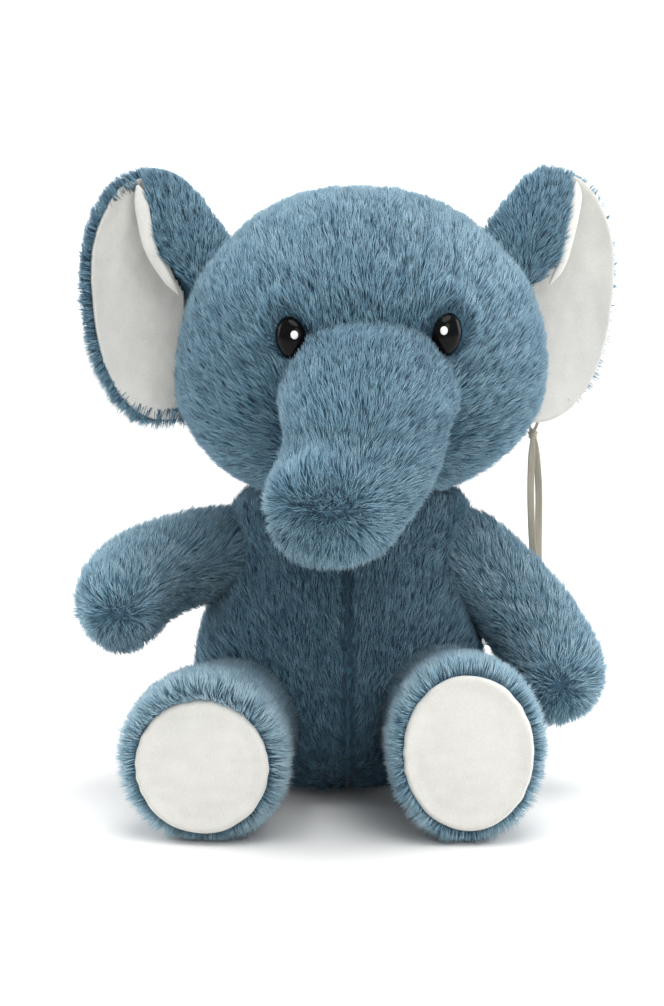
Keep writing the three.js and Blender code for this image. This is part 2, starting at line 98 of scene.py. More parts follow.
def cloth_material(name, dark, light, scale, bump, roughness=0.9, sheen=0.2, streak=(1, 1, 1)):
    """Cloth with mottled colour and a fine raised grain, from noise in the object's own space."""
    made = plain_material(name, light, roughness, sheen)
    nodes, links = made.node_tree.nodes, made.node_tree.links
    shader = nodes["Principled BSDF"]
    place = nodes.new("ShaderNodeTexCoord")
    stretch = nodes.new("ShaderNodeMapping")
    stretch.inputs["Scale"].default_value = streak
    links.new(place.outputs["Object"], stretch.inputs["Vector"])
    grain = nodes.new("ShaderNodeTexNoise")
    grain.inputs["Scale"].default_value = scale
    grain.inputs["Detail"].default_value = 6
    patches = nodes.new("ShaderNodeTexNoise")
    patches.inputs["Scale"].default_value = scale / PATCH_SIZE
    links.new(stretch.outputs["Vector"], grain.inputs["Vector"])
    links.new(stretch.outputs["Vector"], patches.inputs["Vector"])
    both = nodes.new("ShaderNodeMath")
    both.operation = "MULTIPLY_ADD"
    both.inputs[1].default_value = GRAIN_SHARE
    links.new(grain.outputs["Fac"], both.inputs[0])
    rest = nodes.new("ShaderNodeMath")
    rest.operation = "MULTIPLY"
    rest.inputs[1].default_value = 1 - GRAIN_SHARE
    links.new(patches.outputs["Fac"], rest.inputs[0])
    links.new(rest.outputs["Value"], both.inputs[2])
    tone = nodes.new("ShaderNodeValToRGB")
    tone.color_ramp.elements[0].position = 0.3
    tone.color_ramp.elements[0].color = srgb(dark)
    tone.color_ramp.elements[1].position = 0.7
    tone.color_ramp.elements[1].color = srgb(light)
    links.new(both.outputs["Value"], tone.inputs["Fac"])
    links.new(tone.outputs["Color"], shader.inputs["Base Color"])
    relief = nodes.new("ShaderNodeBump")
    relief.inputs["Strength"].default_value = bump
    relief.inputs["Distance"].default_value = GRAIN_HEIGHT
    links.new(grain.outputs["Fac"], relief.inputs["Height"])
    links.new(relief.outputs["Normal"], shader.inputs["Normal"])
    return made


FUR_SHADES = ["#345467", "#4c7187", "#648ca1", "#7ca3b7", "#96b9ca", "#b0cdda", "#c4d9e3"]
fur_materials = [plain_material(f"fur_{i}", c, roughness=0.8, sheen=0.15) for i, c in enumerate(FUR_SHADES)]
# the backing cloth is coloured deeper than the fibres, as painted shade in the gaps between the strands
backing = cloth_material("fur_backing", "#365669", "#52788e", 900, 0.5)
velboa = cloth_material("white_velboa", "#d3d2cc", "#e3e2dd", 1500, 0.3, sheen=0.2)
fibre_fill = cloth_material("fibre_fill", "#dcdcd8", "#fafaf7", 500, 0.8)
pouch_cloth = cloth_material("pouch_cloth", "#b3aea2", "#d6d1c6", 1400, 0.4)
satin = cloth_material("ribbon_satin", "#958e7e", "#bdb6a6", 2600, 0.25, roughness=0.42, streak=(6, 6, 0.6))
label_satin = cloth_material("label_satin", "#e4e4df", "#fbfbf8", 2200, 0.2, roughness=0.5)
eye_black = cloth_material("eye_gloss", "#050506", "#0c0c0e", 300, 0.0, roughness=0.1, sheen=0.0)
eye_black.node_tree.nodes["Principled BSDF"].inputs["Specular IOR Level"].default_value = 0.12
# the glint disc on each eye is a painted highlight
eye_painted_glint = cloth_material("eye_glint", "#eceae8", "#fbfafa", 300, 0.0, roughness=0.3, sheen=0.0)
washer_plastic = cloth_material("washer_plastic", "#d4d4cf", "#ececea", 700, 0.1, roughness=0.5, sheen=0.0)


# ---- mesh helpers ---------------------------------------------------------------------------
def new_object(name, mesh, material=None):
    piece = bpy.data.objects.new(name, mesh)
    bpy.context.collection.objects.link(piece)
    if material:
        mesh.materials.append(material)
    mesh.polygons.foreach_set("use_smooth", [True] * len(mesh.polygons))
    return piece


def apply_modifiers(piece):
    graph = bpy.context.evaluated_depsgraph_get()
    mesh = bpy.data.meshes.new_from_object(piece.evaluated_get(graph))
    materials = list(piece.data.materials)
    piece.modifiers.clear()
    old = piece.data
    piece.data = mesh
    bpy.data.meshes.remove(old)
    mesh.materials.clear()
    for material in materials:
        mesh.materials.append(material)
    mesh.polygons.foreach_set("use_smooth", [True] * len(mesh.polygons))


def modify(piece, kind, **settings):
    """Adds one modifier with these settings and applies it."""
    added = piece.modifiers.new(kind.lower(), kind)
    for key, value in settings.items():
        setattr(added, key, value)
    apply_modifiers(piece)


def points_of(mesh):
    flat = np.empty(len(mesh.vertices) * 3, np.float32)
    mesh.vertices.foreach_get("co", flat)
    return flat.reshape(-1, 3).astype(float)


def normals_of(mesh):
    flat = np.empty(len(mesh.vertices) * 3, np.float32)
    mesh.vertex_normals.foreach_get("vector", flat)
    return flat.reshape(-1, 3).astype(float)


def set_points(mesh, points):
    mesh.vertices.foreach_set("co", points.astype(np.float32).ravel())
    mesh.update()


def mesh_from(name, points, faces):
    mesh = bpy.data.meshes.new(name)
    mesh.from_pydata([tuple(p) for p in points], [], faces)
    mesh.update()
    return mesh


def joined_mesh(name, nodes, hull=False):
    """CAD nodes copied into one mesh, or the convex skin round them."""
    work = bmesh.new()
    for node in nodes:
        data = frame["nodes"][node].data
        if hull:
            for vertex in data.vertices:
                work.verts.new(vertex.co)
        else:
            work.from_mesh(data)
    if hull:
        result = bmesh.ops.convex_hull(work, input=work.verts)
        inner = [g for g in result["geom_interior"] if isinstance(g, bmesh.types.BMVert)]
        bmesh.ops.delete(work, geom=inner, context="VERTS")
    mesh = bpy.data.meshes.new(name)
    work.to_mesh(mesh)
    work.free()
    return mesh


def inflate(piece, pressure=60.0, cap=1.5 * MM, frames=16, pinned=None, loose=0.0):
    """Cloth simulation with air pressure inside; no point moves further than cap."""
    before = points_of(piece.data)
    cloth = piece.modifiers.new("inflate", "CLOTH")
    settings = cloth.settings
    settings.quality = 6
    settings.mass = 0.002
    settings.use_pressure = True
    settings.uniform_pressure_force = pressure
    settings.shrink_min = -loose
    settings.tension_stiffness = 8
    settings.compression_stiffness = 8
    settings.bending_stiffness = 0.2
    settings.effector_weights.gravity = 0
    if pinned is not None:
        group = piece.vertex_groups.new(name="pinned")
        group.add([int(i) for i in np.flatnonzero(pinned)], 1.0, "REPLACE")
        settings.vertex_group_mass = "pinned"
    cloth.point_cache.frame_end = frames
    for step in range(1, frames + 1):
        bpy.context.scene.frame_set(step)
    apply_modifiers(piece)
    bpy.context.scene.frame_set(1)
    moved = points_of(piece.data) - before
    far = np.linalg.norm(moved, axis=1, keepdims=True)
    set_points(piece.data, before + moved * np.minimum(1.0, cap / np.maximum(far, 1e-9)))


def soft_skin(name, nodes, hull=False, voxel=2.5, inset=3.0, smooth=12, puff=1.0, material=backing):
    """The stuffed cloth under the fur: the CAD solids made one and drawn in by the pile's height."""
    piece = new_object(name, joined_mesh(name, nodes, hull), material)
    modify(piece, "REMESH", mode="VOXEL", voxel_size=voxel * MM)
    modify(piece, "SMOOTH", iterations=smooth)
    set_points(piece.data, points_of(piece.data) - normals_of(piece.data) * inset * MM)
    inflate(piece, cap=puff * MM)
    modify(piece, "SMOOTH", iterations=3)
    return piece


def tree_of(piece):
    mesh = piece.data
    places = [v.co.copy() for v in mesh.vertices]
    return BVHTree.FromPolygons(places, [tuple(p.vertices) for p in mesh.polygons])


def depth_in(piece, spots, reach=20 * MM):
    """How far each spot is inside a closed piece; negative when it is outside."""
    tree = trees[piece]
    own = points_of(piece.data)
    close = np.all((spots > own.min(0) - reach) & (spots < own.max(0) + reach), axis=1)
    depth = np.full(len(spots), -reach)
    for i in np.flatnonzero(close):
        place, normal, _, distance = tree.find_nearest(Vector(spots[i]), reach * 3)
        if place is not None:
            depth[i] = distance if (Vector(spots[i]) - place).dot(normal) < 0 else -distance
    return depth


# ---- fur ------------------------------------------------------------------------------------
STRANDS_PER_PIECE = 19500
DENSITY = 2.0      # strands on a square millimetre
PILE_LENGTH = 7.8 * MM
STRAND_WIDTH = 0.30 * MM
ROOT_DEPTH = 0.6 * MM                     # how far a strand starts under the skin
SHORTEST, LONGEST = 1.2 * MM, 13 * MM
TUFT_SIZE = 1.5 * MM
FLOOR_GAP = 0.5 * MM                      # no strand comes lower than this
MIDDLE_TONE = 3.1                         # the usual shade, as a place in the list of shades
MOST_TILT = 1.45                          # radians from upright


def unit(v):
    return v / np.maximum(np.linalg.norm(v, axis=-1, keepdims=True), 1e-12)


def scatter(mesh, per_mm2):
    """Random places on a mesh, evenly by area: positions and smooth normals."""
    mesh.calc_loop_triangles()
    corners = np.empty(len(mesh.loop_triangles) * 3, np.int32)
    mesh.loop_triangles.foreach_get("vertices", corners)
    corners = corners.reshape(-1, 3)
    points, normals = points_of(mesh), normals_of(mesh)
    a, b, c = (points[corners[:, i]] for i in range(3))
    area = np.linalg.norm(np.cross(b - a, c - a), axis=1) / 2
    count = int(area.sum() / MM ** 2 * per_mm2)
    pick = rng.choice(len(area), count, p=area / area.sum())
    r1, r2 = np.sqrt(rng.random(count))[:, None], rng.random(count)[:, None]
    weights = (1 - r1, r1 * (1 - r2), r1 * r2)
    spots = sum(w * points[corners[pick, i]] for i, w in enumerate(weights))
    ups = unit(sum(w * normals[corners[pick, i]] for i, w in enumerate(weights)))
    return spots, ups


def waves(points, size, seed):
    """Smooth random values from about -1 to 1 over space, with features of about that size."""
    local = np.random.default_rng(seed)
    total = np.zeros(len(points))
    for _ in range(7):
        direction = local.normal(size=3)
        direction *= 2 * np.pi / (size * (0.7 + 0.8 * local.random())) / np.linalg.norm(direction)
        total += np.sin(points @ direction + local.random() * 6.28)
    return total / 2.6


def tufts(points, cell, seed):
    """For each point, the index of the small irregular cell that it is in."""
    local = np.random.default_rng(seed)
    shift = local.random(3) * cell
    jitter = local.normal(size=points.shape) * cell * 0.18
    keys = np.floor((points + shift + jitter) / cell).astype(np.int64)
    code = keys[:, 0] * 73856093 ^ keys[:, 1] * 19349663 ^ keys[:, 2] * 83492791
    return np.unique(code, return_inverse=True)[1]


def tuft_mean(values, index):
    count = np.bincount(index)
    return np.stack([np.bincount(index, values[:, k]) / count for k in range(3)], 1)[index]


def grow_fur(name, body, spots, ups, comb, seed, length=1.0, lean=61.0, shade=0.0, mess=0.0):
    """Fur strands at the spots, leaning along comb, as closed tapered prisms on one body."""
    local = np.random.default_rng(seed)
    count = len(spots)
    along = comb - ups * np.sum(comb * ups, axis=1, keepdims=True)
    along = unit(along + local.normal(size=along.shape) * 0.001)
    side = np.cross(ups, along)
    swirl = 0.16 * waves(spots, 14 * MM, seed + 1) + 0.18 * waves(spots, 4 * MM, seed + 2)
    swirl += local.normal(size=count) * (0.16 + 0.9 * mess)
    along = unit(along * np.cos(swirl)[:, None] + side * np.sin(swirl)[:, None])
    tilt = lean * (1 - 0.45 * mess) + 4 * waves(spots, 6 * MM, seed + 3)
    tilt = np.radians(tilt + local.normal(size=count) * 6)
    size = 0.95 + 0.06 * waves(spots, 5 * MM, seed + 4)
    size = PILE_LENGTH * length * (size + local.normal(size=count) * 0.09)
    size = np.clip(size, SHORTEST, LONGEST)[:, None]
    root = spots - ups * ROOT_DEPTH
    ring = root
    path = []
    for bend in (0.70, 1.22):                 # each half of a strand leans further than the one before
        angle = np.minimum(tilt * bend, MOST_TILT)[:, None]
        ring = ring + size * 0.5 * (ups * np.cos(angle) + along * np.sin(angle))
        path.append(ring)
    mid, tip = path
    tuft = tufts(spots, TUFT_SIZE, seed + 5)
    pull = (0.05 + 0.33 * local.random(count))[:, None]
    tip = tip + (tuft_mean(tip, tuft) - tip) * pull
    mid = mid + (tuft_mean(mid, tuft) - mid) * pull * 0.3
    for ring in (mid, tip):
        ring[:, 2] = np.maximum(ring[:, 2], FLOOR_GAP)
    across = unit(np.cross(tip - root, ups))
    thick = unit(np.cross(across, tip - root))
    width = STRAND_WIDTH * (0.75 + 0.5 * local.random(count)[:, None])
    tuft_tone = local.normal(size=tuft.max() + 1)[tuft]
    # shade is the painted light and shade laid on by region; the waves, the tufts and the random steps are
    # the fur's own uneven tone
    tone = MIDDLE_TONE + shade + 0.35 * waves(spots, 9 * MM, seed + 6) + 0.3 * tuft_tone
    tone = tone + local.normal(size=count) * 0.42
    last = len(FUR_SHADES) - 1
    # the lower half of each strand takes a tone one step deeper than its upper half: painted shade deep in
    # the pile
    lower = np.clip(np.floor(tone - 1.0), 0, last).astype(np.int32)
    upper = np.clip(np.floor(tone), 0, last).astype(np.int32)
    for part, first in enumerate(range(0, count, STRANDS_PER_PIECE)):
        s = slice(first, min(first + STRANDS_PER_PIECE, count))
        piece = strand_piece(f"{name}_{part + 1}", root[s], mid[s], tip[s], across[s], thick[s], width[s],
                             lower[s], upper[s])
        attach(piece, body)


def strand_piece(name, root, mid, tip, across, thick, width, lower, upper):
    """Closed strands: a three-sided root, a three-sided middle and a pointed tip."""
    rings = []
    for centre, wide in ((root, 0.5), (mid, 0.46)):
        for k in range(3):
            a = 2 * math.pi * k / 3
            rings.append(centre + width * wide * (across * math.cos(a) + thick * math.sin(a)))
    rings.append(tip)
    points = np.stack(rings, 1).reshape(-1, 3)
    base = (np.arange(len(root)) * 7)[:, None]
    faces = [(0, 2, 1), (0, 1, 4, 3), (1, 2, 5, 4), (2, 0, 3, 5), (3, 4, 6), (4, 5, 6), (5, 3, 6)]
    loops = (base + np.concatenate([np.array(f) for f in faces])).ravel()
    sizes = np.array([len(f) for f in faces])
    starts = np.concatenate([[0], np.cumsum(sizes)[:-1]])
    loop_start = (np.arange(len(root))[:, None] * sizes.sum() + starts).ravel()
    index = np.stack([lower] * 4 + [upper] * 3, 1).ravel()
    mesh = bpy.data.meshes.new(name)
    mesh.vertices.add(len(points))
    mesh.vertices.foreach_set("co", points.astype(np.float32).ravel())
    mesh.loops.add(len(loops))
    mesh.loops.foreach_set("vertex_index", loops.astype(np.int32))
    mesh.polygons.add(len(loop_start))
    mesh.polygons.foreach_set("loop_start", loop_start.astype(np.int32))
    for material in fur_materials:
        mesh.materials.append(material)
    mesh.polygons.foreach_set("material_index", index.astype(np.int32))
    mesh.update(calc_edges=True)
    return new_object(name, mesh)


# ---- skins ----------------------------------------------------------------------------------
def set_pose(at, turn, lean):
    """A frame at a place, turned about the upright axis and then leaned sideways, in degrees."""
    return Matrix.Translation(at) @ Euler((0, 0, math.radians(turn))).to_matrix().to_4x4() \
        @ Euler((0, math.radians(lean), 0)).to_matrix().to_4x4()


def to_local(pose, spots):
    back_to_pose = np.array(pose.inverted())
    return spots @ back_to_pose[:3, :3].T + back_to_pose[:3, 3]


def to_world(pose, spots):
    place = np.array(pose)
    return spots @ place[:3, :3].T + place[:3, 3]


EYE_WIDE, EYE_TALL, EYE_DEEP = 6.2 * MM, 8.2 * MM, 4.2 * MM
EYE_BACK = 16 * MM                        # cloth further behind an eye than this isn't near it
NOT_NEAR = 9
EYES = {
    "left": set_pose((-0.0192, -0.0564, 0.1904), -22, -12),
    "right": set_pose((0.0413, -0.0562, 0.1918), 27, 12),
}


def in_eye(spots, pose):
    """Oval distance from an eye's axis, 1 at its rim, and the direction away from that axis."""
    local = to_local(pose, spots)
    away = np.stack([local[:, 0], np.zeros(len(spots)), local[:, 2]], 1)
    oval = np.hypot(local[:, 0] / EYE_WIDE, local[:, 2] / EYE_TALL)
    oval[local[:, 1] > EYE_BACK] = NOT_NEAR
    return oval, unit(away) @ np.array(pose)[:3, :3].T


stands_for = {
    "head": ["head_panel_left", "head_panel_right"],
    "trunk": ["trunk_panel_left", "trunk_panel_right"],
    "torso": ["torso_front_left", "torso_front_right", "torso_back_left", "torso_back_right", "seat_panel"],
    "tail": ["tail"],
}
skins = {
    "head": soft_skin("head_skin", stands_for["head"], hull=True),
    "trunk": soft_skin("trunk_skin", [*stands_for["trunk"], "trunk_stuffing"]),
    "torso": soft_skin("torso_skin", stands_for["torso"], hull=True),
    "tail": soft_skin("tail_skin", stands_for["tail"], voxel=1.2, inset=1.5, smooth=4, puff=0.2),
}
for side in SIDES:
    arm, leg, ear = f"arm_{side}", f"leg_{side}", f"ear_{side}"
    stands_for[arm] = [f"{arm}_front_panel", f"{arm}_back_panel"]
    stands_for[leg] = [f"{leg}_upper_panel", f"{leg}_lower_panel"]
    stands_for[ear] = [f"ear_back_{side}"]
    arm_nodes = [*stands_for[arm], f"{arm}_stuffing"]
    leg_nodes = [*stands_for[leg], f"{leg}_stuffing", f"sole_{side}"]
    skins[arm] = soft_skin(f"{arm}_skin", arm_nodes, inset=2.8, smooth=8, puff=0.8)
    skins[leg] = soft_skin(f"{leg}_skin", leg_nodes, inset=2.3, smooth=6, puff=0.6)
    skins[ear] = soft_skin(f"{ear}_skin", stands_for[ear], voxel=1.2, inset=0.8, smooth=6, puff=0.2)


def sole_place(side):
    """The middle of a sole and half its size."""
    low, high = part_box(f"sole_{side}")
    return (low + high) / 2, (high - low) / 2


SOLE_TILT = {"left": (3.0, -9.0), "right": (0.0, -2.5)}    # degrees: leaned back, turned outwards


def sole_pose(side):
    lean_back, outwards = SOLE_TILT[side]
    turn = Euler((math.radians(-lean_back), 0, math.radians(outwards)))
    return Matrix.Translation(sole_place(side)[0]) @ turn.to_matrix().to_4x4()


SEAT_RIM, SEAT_END = 0.97, 1.12           # shares of a sole's outline: where the pressed cloth starts to rise
SEAT_DEPTH, SEAT_RISE = 1.2, -4.0         # and its depth behind the sole's middle there, in millimetres
FOOT_FRONT = 8 * MM                       # cloth further back than this isn't pressed


def seat_sole(skin, side):
    """Presses a leg's skin back where the sole lies on it."""
    half = sole_place(side)[1]
    pose = sole_pose(side)
    spots = to_local(pose, points_of(skin.data))
    oval = np.hypot(spots[:, 0] / half.x, spots[:, 2] / half.z)
    press = np.interp(oval, [SEAT_RIM, SEAT_END], [SEAT_DEPTH, SEAT_RISE]) * MM
    under = (oval < SEAT_END) & (spots[:, 1] < FOOT_FRONT)
    spots[:, 1] = np.where(under, np.maximum(spots[:, 1], press), spots[:, 1])
    set_points(skin.data, to_world(pose, spots))


def draw_to(piece, target, reach, full):
    """Draws the near edge of one cloth on to another, as it is sewn into its seam."""
    tree = trees[target]
    spots = points_of(piece.data)
    for i, spot in enumerate(spots):
        place, _, _, distance = tree.find_nearest(Vector(spot), reach)
        if place is not None:
            share = min(1.0, (reach - distance) / (reach - full))
            spots[i] += (np.array(place) - spot) * share
    set_points(piece.data, spots)


def near(distance, reach):
    """1 at no distance, falling away smoothly over the reach."""
    return np.exp(-(np.abs(distance) / reach) ** 2)


def ramp(values, start, end):
    """0 before start, 1 past end, smooth between."""
    share = np.clip((values - start) / (end - start), 0, 1)
    return share * share * (3 - 2 * share)


def raise_skin(skin, height):
    """Moves a skin out along its normals by a height in millimetres that varies over it."""
    spots = points_of(skin.data)
    set_points(skin.data, spots + normals_of(skin.data) * height(spots / MM)[:, None] * MM)


# each ear's frame, side, where its fur starts from, the edge of its fold [outwards, up] with the hem's
# half widths there, the lining's share of the outline, and how far the inner top corner is drawn in
EARS = {
    "left": {"pose": set_pose((-0.0745, 0.009, 0.2005), 8, -5), "side": -1, "root": (-0.052, 0.004, 0.196),
             "fold": [[2, 47], [1, 43], [0.5, 33], [-0.5, 22], [-4.5, 11], [-9, 2]],
             "hem": [2.6, 3.2, 3.1, 2.7, 2.1, 1.2], "shrink": (0.87, 0.95), "slim": 0.0},
    "right": {"pose": set_pose((0.083, 0.014, 0.201), 16, 6), "side": 1, "root": (0.071, 0.008, 0.197),
              "fold": [[6.2, 48], [5.6, 44], [4.2, 34], [2.6, 23], [1.2, 14], [-2.5, 6]],
              "hem": [2.6, 3.1, 3.0, 2.6, 1.9, 1.2], "shrink": (0.985, 0.985), "slim": 3.5},
}


def slim_ear(skin, ear):
    """Draws in the inner top corner of an ear."""
    spots = to_local(ear["pose"], points_of(skin.data))
    inner = ramp(-spots[:, 0] * ear["side"], 2 * MM, 24 * MM)
    top = ramp(spots[:, 2], 12 * MM, 44 * MM)
    spots[:, 0] += ear["side"] * ear["slim"] * MM * inner * top
    set_points(skin.data, to_world(ear["pose"], spots))


# The next functions take places in millimetres and give the height to which they raise a skin.
def trunk_shape(spots):
    """Wider at the root but not over the eyes, a narrow waist on the left, and a drooping tip."""
    x, y, z = spots.T
    clear = np.minimum(*(in_eye(spots * MM, pose)[0] for pose in EYES.values()))
    off_eyes = np.clip((clear - 0.8) / 0.8, 0, 1)
    root = 3.4 * ramp(z, 154, 168) * (1 - ramp(z, 186, 196)) * ramp(-y, 30, 45) * off_eyes
    tip = 4.6 * ramp(-y, 86, 106) * ramp(-z, -130, -117) + 1.0 * ramp(-x, 12, 24) * ramp(-z, -146, -134)
    return root + tip - 1.3 * near(z - 152, 9) * ramp(-x, -2, 8)


def brow(spots):
    """The stuffed cloth stands up round the top and outside of each eye, and over the cheeks."""
    raised = np.zeros(len(spots))
    for pose in EYES.values():
        local = to_local(pose, spots * MM)
        oval = np.hypot(local[:, 0] / EYE_WIDE, (local[:, 2] - 2 * MM) / EYE_TALL)
        raised += 2.8 * near(oval - 1.5, 0.4) * (local[:, 1] < EYE_BACK) * ramp(local[:, 2], -5 * MM, 3 * MM)
    cheek = (1.6 + 1.2 * (spots[:, 0] < -30)) * (1 - ramp(np.abs(spots[:, 2] - 184), 18, 44))
    return raised + cheek


def shoulders(spots):
    """Fuller shoulders beside the neck, but not in front of it or behind it."""
    beside = np.abs(spots[:, 0] - neck.x / MM)
    return 3.6 * ramp(spots[:, 2], 96, 112) * ramp(beside, 16, 34)


def root_tail(skin):
    """Draws the top of the tail into the torso's back seam."""
    spots = points_of(skin.data)
    spots[:, 1] -= 7 * MM * ramp(spots[:, 2], 32 * MM, 42 * MM)
    set_points(skin.data, spots)


raise_skin(skins["trunk"], trunk_shape)
root_tail(skins["tail"])
raise_skin(skins["torso"], shoulders)
raise_skin(skins["head"], brow)
trees = {skin: tree_of(skin) for skin in skins.values()}
for side in SIDES:
    seat_sole(skins[f"leg_{side}"], side)
    slim_ear(skins[f"ear_{side}"], EARS[side])
    draw_to(skins[f"ear_{side}"], skins["head"], reach=20 * MM, full=8 * MM)
for body, skin in skins.items():
    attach(skin, body)
    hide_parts(*stands_for[body])
trees = {skin: tree_of(skin) for skin in skins.values()}

# ---- stuffing and pellets, inside -----------------------------------------------------------
INSIDE = {"head_stuffing": "head", "trunk_stuffing": "trunk", "torso_stuffing": "torso",
          "pellet_pouch": "torso", "arm_left_stuffing": "arm_left", "arm_right_stuffing": "arm_right",
          "leg_left_stuffing": "leg_left", "leg_right_stuffing": "leg_right"}
for node, body in INSIDE.items():
    material = pouch_cloth if node == "pellet_pouch" else fibre_fill
    fill = new_object(f"{node}_soft", joined_mesh(node, [node]), material)
    modify(fill, "REMESH", mode="VOXEL", voxel_size=3 * MM)
    modify(fill, "SMOOTH", iterations=5)
    spots = points_of(fill.data)
    lumps = 0.5 * waves(spots, 12 * MM, 40) - 0.9
    set_points(fill.data, spots + normals_of(fill.data) * lumps[:, None] * MM)
    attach(fill, body)
    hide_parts(node)


# ---- eyes -----------------------------------------------------------------------------------
# Profiles of turned forms are lists of [share of the radius, height towards the front in mm].
EYE_PROFILE = [[math.sin(a), EYE_DEEP / MM * math.cos(a)] for a in np.linspace(0, 1.36, 14)]
EYE_PROFILE += [[1.0, 0.55], [1.035, 0.3], [1.045, -0.1], [1.02, -0.5], [0.9, -0.8], [0.4, -0.9],
                [0.2, -1.2], [0.2, -14.0], [0.16, -15.0], [0.0, -15.0]]


def lathe(name, profile, wide, tall, pose, material, sides=56):
    """A closed oval turned form whose front is towards -Y of its pose."""
    points, faces = [], []
    for r, front in profile[1:-1]:
        for k in range(sides):
            a = 2 * math.pi * k / sides
            points.append(pose @ Vector((r * wide * math.cos(a), -front * MM, r * tall * math.sin(a))))
    rows = len(profile) - 2
    for row in range(rows - 1):
        for k in range(sides):
            n = (k + 1) % sides
            here, there = row * sides, (row + 1) * sides
            faces.append((here + k, here + n, there + n, there + k))
    for (_, front), row in ((profile[0], 0), (profile[-1], rows - 1)):
        points.append(pose @ Vector((0, -front * MM, 0)))
        for k in range(sides):
            n = (k + 1) % sides
            ring = (row * sides + n, row * sides + k) if row == 0 else (row * sides + k, row * sides + n)
            faces.append((len(points) - 1, *ring))
    return new_object(name, mesh_from(name, points, faces), material)


# where each eye carries a white disc as its glint, a painted highlight: across and up from its middle
GLINTS = {"left": (3.2 * MM, 1.0 * MM), "right": (-3.6 * MM, 1.2 * MM)}
GLINT_WIDE, GLINT_TALL = 1.45 * MM, 1.7 * MM
GLINT_PROFILE = [[0, 0.16], [0.5, 0.12], [0.85, 0.03], [1.0, -0.12], [0.9, -0.5], [0, -0.6]]
for side, pose in EYES.items():
    ball = lathe(f"eye_ball_{side}", EYE_PROFILE, EYE_WIDE, EYE_TALL, pose, eye_black)
    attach(ball, "head")
    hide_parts(f"eye_{side}")
    across, high = GLINTS[side]
    front = EYE_DEEP * math.sqrt(1 - (across / EYE_WIDE) ** 2 - (high / EYE_TALL) ** 2)
    outward = Vector((across / EYE_WIDE ** 2, -front / EYE_DEEP ** 2, high / EYE_TALL ** 2)).normalized()
    facing_out = Vector((0, -1, 0)).rotation_difference(outward).to_matrix().to_4x4()
    spot = pose @ Matrix.Translation((across, -front, high)) @ facing_out
    glint = lathe(f"eye_glint_{side}", GLINT_PROFILE, GLINT_WIDE, GLINT_TALL, spot, eye_painted_glint, sides=40)
    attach(glint, "head")


# ---- soles ----------------------------------------------------------------------------------
SOLE_SHARE = 0.985                        # of the flat sole in the CAD
SOLE_HALF, SOLE_CROWN = 1.6, 1.6          # half its thickness, and how far its middle stands out
SOLE_PROFILE = [[r, SOLE_HALF + SOLE_CROWN * (1 - r ** 2.5)] for r in np.linspace(0, 0.94, 26)]
SOLE_PROFILE += [[0.975, 1.2], [0.995, 0.4], [1.0, -0.6], [0.98, -1.3], [0.9, -SOLE_HALF]]
SOLE_PROFILE += [[r, -SOLE_HALF] for r in np.linspace(0.8, 0.1, 8)] + [[0, -SOLE_HALF]]
SEWN_RIM = 0.93                           # outside this share of its outline a sole is sewn down
BARE_SHARE = 0.945                        # and inside this share the leg grows no fur
for side in SIDES:
    middle, half = sole_place(side)
    wide, tall = SOLE_SHARE * half.x, SOLE_SHARE * half.z
    sole = lathe(f"sole_cloth_{side}", SOLE_PROFILE, wide, tall, sole_pose(side), velboa, sides=120)
    spots = points_of(sole.data)
    offset = (spots - np.array(middle)) / np.array([half.x, 1, half.z])
    rim = np.hypot(offset[:, 0], offset[:, 2]) > SEWN_RIM
    inflate(sole, pressure=30, cap=1.3 * MM, pinned=rim, loose=0.015)
    spots = points_of(sole.data)
    creases = 0.16 * waves(spots * [0.35, 1, 1.6], 9 * MM, 60 + len(side))
    set_points(sole.data, spots + normals_of(sole.data) * creases[:, None] * MM)
    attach(sole, f"leg_{side}")
    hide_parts(f"sole_{side}")


def off_sole(side):
    """A test that is true for places on a leg outside its sole."""
    middle, half = sole_place(side)

    def keep(spots, ups):
        oval = np.hypot((spots[:, 0] - middle.x) / half.x, (spots[:, 2] - middle.z) / half.z)
        return (oval > BARE_SHARE) | (spots[:, 1] > middle.y + 9 * MM)
    return keep


# ---- ear linings ----------------------------------------------------------------------------
EAR_WIDE, EAR_DEEP, EAR_TALL = 30 * MM, 12 * MM, 52 * MM
EAR_BOX = 2.2                             # power of the ear's outline: 2 is an ellipse, more is boxier


def outline(angle):
    """Reach of an ear's outline at an angle, for half sizes of 1."""
    return (np.abs(np.cos(angle)) ** EAR_BOX + np.abs(np.sin(angle)) ** EAR_BOX) ** (-1 / EAR_BOX)


def fold_edge(ear, heights):
    """Where the folded cloth ends at these heights, in millimetres outwards from the ear's middle."""
    outward, up = np.array(ear["fold"][::-1]).T
    return np.interp(heights, up, outward)


def front_height(x, z):
    """Forward reach of the ear's domed front at a place in its own frame."""
    share = 1 - abs(x / EAR_WIDE) ** EAR_BOX - abs(z / EAR_TALL) ** EAR_BOX
    return EAR_DEEP * max(share, 0.0) ** (1 / EAR_BOX)


def smooth_path(points, count):
    """Evenly spaced points on a smooth curve through the given ones."""
    curve = bpy.data.curves.new("path", "CURVE")
    curve.dimensions = "3D"
    spline = curve.splines.new("BEZIER")
    spline.bezier_points.add(len(points) - 1)
    for knot, place in zip(spline.bezier_points, points):
        knot.co = place
        knot.handle_left_type = knot.handle_right_type = "AUTO"
    curve.resolution_u = 24
    holder = bpy.data.objects.new("path", curve)
    bpy.context.collection.objects.link(holder)
    bpy.context.view_layer.update()
    line = np.array([v.co for v in holder.to_mesh().vertices])
    holder.to_mesh_clear()
    bpy.data.objects.remove(holder)
    bpy.data.curves.remove(curve)
    reach = np.concatenate([[0], np.cumsum(np.linalg.norm(np.diff(line, axis=0), axis=1))])
    return np.stack([np.interp(np.linspace(0, reach[-1], count), reach, line[:, k]) for k in range(3)], 1)


